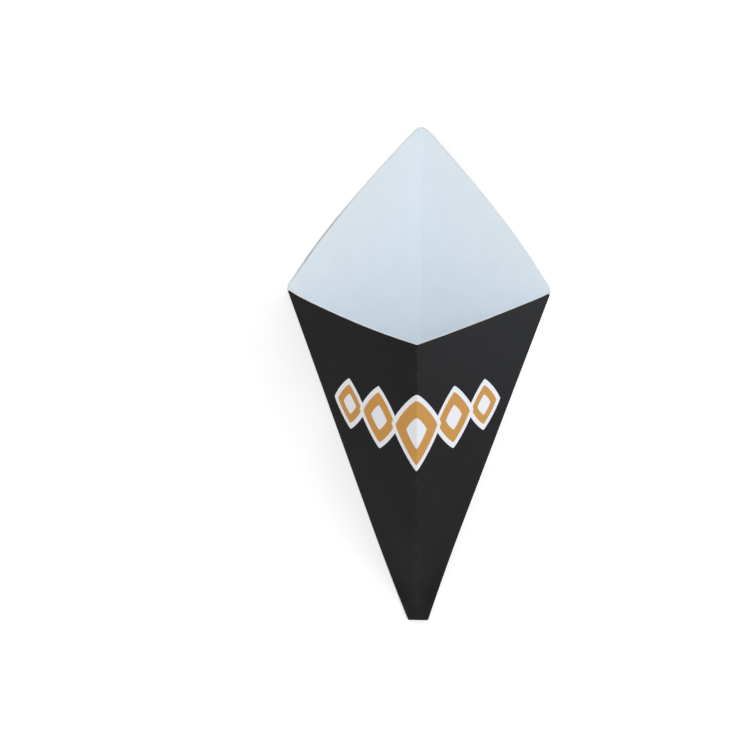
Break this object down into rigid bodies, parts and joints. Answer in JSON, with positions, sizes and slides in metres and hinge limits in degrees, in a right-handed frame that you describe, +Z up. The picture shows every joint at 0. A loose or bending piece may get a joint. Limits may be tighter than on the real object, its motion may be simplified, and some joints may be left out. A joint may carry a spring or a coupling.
{
  "type": "paper crepe cone",
  "caption": "Folded paperboard cone with a diamond mouth, dipped front rim, tall rounded back and flat pressed tip, lying on one back panel.",
  "frame": {"origin": "centre of the bounding box's footprint, on the surface that the cone lies on", "axes": "+Y along the cone's length from its mouth to its tip, +Z up from the back panel that it lies on"},
  "size_m": [0.1016, 0.248, 0.0703],
  "materials": {
    "printed_board": "satin"
  },
  "bodies": {
    "root": {"paper_cone": "printed_board"}
  },
  "joints": []
}
